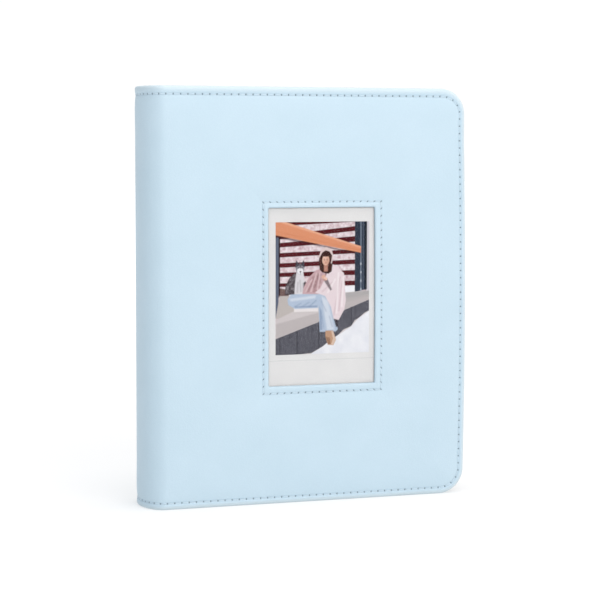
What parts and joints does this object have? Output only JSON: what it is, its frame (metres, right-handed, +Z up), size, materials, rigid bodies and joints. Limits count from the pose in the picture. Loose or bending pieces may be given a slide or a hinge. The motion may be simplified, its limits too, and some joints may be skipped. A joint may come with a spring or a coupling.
{
  "type": "scrapbook album",
  "caption": "Padded leather-look album with a round spine, a sewn print window in its front cover and hinged film pocket leaves for instant prints.",
  "frame": {"origin": "bottom centre of the closed, upright album: the middle of its width and thickness, on the plane that its bottom edges stand on", "axes": "+Z up along the spine, +X from the spine to the fore-edge, +Y from the front cover to the back cover"},
  "size_m": [0.157, 0.033, 0.193],
  "materials": {
    "leather": "satin, fine-grained soft imitation leather",
    "foam": "open foam sheet",
    "board": "matt grey board",
    "lining": "matt lining paper",
    "thread": "twisted thread",
    "window_film": "clear gloss film",
    "print": "gloss print in a pale card border",
    "pocket_leaf": "clear film pockets on a white sheet",
    "binding": "matt"
  },
  "bodies": {
    "spine": {"spine_leather": "leather", "spine_foam": "foam", "spine_board": "board", "spine_lining": "lining", "front_hinge_leather": "leather", "back_hinge_leather": "leather", "front_hinge_lining": "lining", "back_hinge_lining": "lining", "spine_head_thread": "thread", "spine_foot_thread": "thread", "binding_block": "binding"},
    "front_cover": {"front_leather": "leather", "front_foam": "foam", "front_board": "board", "front_lining": "lining", "front_edge_thread": "thread", "window_film": "window_film", "window_print": "print", "print_backing_board": "board", "window_thread": "thread"},
    "back_cover": {"back_leather": "leather", "back_foam": "foam", "back_board": "board", "back_lining": "lining", "back_edge_thread": "thread"},
    "leaf_01": {"leaf_01": "pocket_leaf"},
    "leaf_02": {"leaf_02": "pocket_leaf"},
    "leaf_03": {"leaf_03": "pocket_leaf"},
    "leaf_04": {"leaf_04": "pocket_leaf"},
    "leaf_05": {"leaf_05": "pocket_leaf"},
    "leaf_06": {"leaf_06": "pocket_leaf"},
    "leaf_07": {"leaf_07": "pocket_leaf"},
    "leaf_08": {"leaf_08": "pocket_leaf"},
    "leaf_09": {"leaf_09": "pocket_leaf"},
    "leaf_10": {"leaf_10": "pocket_leaf"},
    "leaf_11": {"leaf_11": "pocket_leaf"},
    "leaf_12": {"leaf_12": "pocket_leaf"},
    "leaf_13": {"leaf_13": "pocket_leaf"},
    "leaf_14": {"leaf_14": "pocket_leaf"},
    "leaf_15": {"leaf_15": "pocket_leaf"},
    "leaf_16": {"leaf_16": "pocket_leaf"}
  },
  "joints": [
    {"name": "front_cover_hinge", "type": "hinge", "parent": "spine", "child": "front_cover", "pos_m": [-0.0738, -0.0155, 0.0965], "axis": [0, 0, -1], "range_deg": [0, 90], "deforming": ["front_hinge_leather", "front_hinge_lining", "spine_head_thread", "spine_foot_thread"]},
    {"name": "back_cover_hinge", "type": "hinge", "parent": "spine", "child": "back_cover", "pos_m": [-0.0738, 0.0155, 0.0965], "axis": [0, 0, 1], "range_deg": [0, 90], "deforming": ["back_hinge_leather", "back_hinge_lining", "spine_head_thread", "spine_foot_thread"]},
    {"name": "leaf_01_crease", "type": "hinge", "parent": "spine", "child": "leaf_01", "pos_m": [-0.067, -0.0105, 0.0965], "axis": [0, 0, -1], "range_deg": [0, 75.5]},
    {"name": "leaf_02_crease", "type": "hinge", "parent": "spine", "child": "leaf_02", "pos_m": [-0.067, -0.0091, 0.0965], "axis": [0, 0, -1], "range_deg": [0, 66.1]},
    {"name": "leaf_03_crease", "type": "hinge", "parent": "spine", "child": "leaf_03", "pos_m": [-0.067, -0.0077, 0.0965], "axis": [0, 0, -1], "range_deg": [0, 56.7]},
    {"name": "leaf_04_crease", "type": "hinge", "parent": "spine", "child": "leaf_04", "pos_m": [-0.067, -0.0063, 0.0965], "axis": [0, 0, -1], "range_deg": [0, 47.3]},
    {"name": "leaf_05_crease", "type": "hinge", "parent": "spine", "child": "leaf_05", "pos_m": [-0.067, -0.0049, 0.0965], "axis": [0, 0, -1], "range_deg": [0, 37.9]},
    {"name": "leaf_06_crease", "type": "hinge", "parent": "spine", "child": "leaf_06", "pos_m": [-0.067, -0.0035, 0.0965], "axis": [0, 0, -1], "range_deg": [0, 28.5]},
    {"name": "leaf_07_crease", "type": "hinge", "parent": "spine", "child": "leaf_07", "pos_m": [-0.067, -0.0021, 0.0965], "axis": [0, 0, -1], "range_deg": [0, 19.1]},
    {"name": "leaf_08_crease", "type": "hinge", "parent": "spine", "child": "leaf_08", "pos_m": [-0.067, -0.0007, 0.0965], "axis": [0, 0, -1], "range_deg": [0, 9.7]},
    {"name": "leaf_09_crease", "type": "hinge", "parent": "spine", "child": "leaf_09", "pos_m": [-0.067, 0.0007, 0.0965], "axis": [0, 0, 1], "range_deg": [0, 9.7]},
    {"name": "leaf_10_crease", "type": "hinge", "parent": "spine", "child": "leaf_10", "pos_m": [-0.067, 0.0021, 0.0965], "axis": [0, 0, 1], "range_deg": [0, 19.1]},
    {"name": "leaf_11_crease", "type": "hinge", "parent": "spine", "child": "leaf_11", "pos_m": [-0.067, 0.0035, 0.0965], "axis": [0, 0, 1], "range_deg": [0, 28.5]},
    {"name": "leaf_12_crease", "type": "hinge", "parent": "spine", "child": "leaf_12", "pos_m": [-0.067, 0.0049, 0.0965], "axis": [0, 0, 1], "range_deg": [0, 37.9]},
    {"name": "leaf_13_crease", "type": "hinge", "parent": "spine", "child": "leaf_13", "pos_m": [-0.067, 0.0063, 0.0965], "axis": [0, 0, 1], "range_deg": [0, 47.3]},
    {"name": "leaf_14_crease", "type": "hinge", "parent": "spine", "child": "leaf_14", "pos_m": [-0.067, 0.0077, 0.0965], "axis": [0, 0, 1], "range_deg": [0, 56.7]},
    {"name": "leaf_15_crease", "type": "hinge", "parent": "spine", "child": "leaf_15", "pos_m": [-0.067, 0.0091, 0.0965], "axis": [0, 0, 1], "range_deg": [0, 66.1]},
    {"name": "leaf_16_crease", "type": "hinge", "parent": "spine", "child": "leaf_16", "pos_m": [-0.067, 0.0105, 0.0965], "axis": [0, 0, 1], "range_deg": [0, 75.5]}
  ],
  "couplings": [
    {"joint": "leaf_01_crease", "follows": "front_cover_hinge", "ratio": 0.83333},
    {"joint": "leaf_02_crease", "follows": "front_cover_hinge", "ratio": 0.72889},
    {"joint": "leaf_03_crease", "follows": "front_cover_hinge", "ratio": 0.62444},
    {"joint": "leaf_04_crease", "follows": "front_cover_hinge", "ratio": 0.52},
    {"joint": "leaf_05_crease", "follows": "front_cover_hinge", "ratio": 0.41556},
    {"joint": "leaf_06_crease", "follows": "front_cover_hinge", "ratio": 0.31111},
    {"joint": "leaf_07_crease", "follows": "front_cover_hinge", "ratio": 0.20667},
    {"joint": "leaf_08_crease", "follows": "front_cover_hinge", "ratio": 0.10222},
    {"joint": "leaf_09_crease", "follows": "back_cover_hinge", "ratio": 0.10222},
    {"joint": "leaf_10_crease", "follows": "back_cover_hinge", "ratio": 0.20667},
    {"joint": "leaf_11_crease", "follows": "back_cover_hinge", "ratio": 0.31111},
    {"joint": "leaf_12_crease", "follows": "back_cover_hinge", "ratio": 0.41556},
    {"joint": "leaf_13_crease", "follows": "back_cover_hinge", "ratio": 0.52},
    {"joint": "leaf_14_crease", "follows": "back_cover_hinge", "ratio": 0.62444},
    {"joint": "leaf_15_crease", "follows": "back_cover_hinge", "ratio": 0.72889},
    {"joint": "leaf_16_crease", "follows": "back_cover_hinge", "ratio": 0.83333}
  ]
}
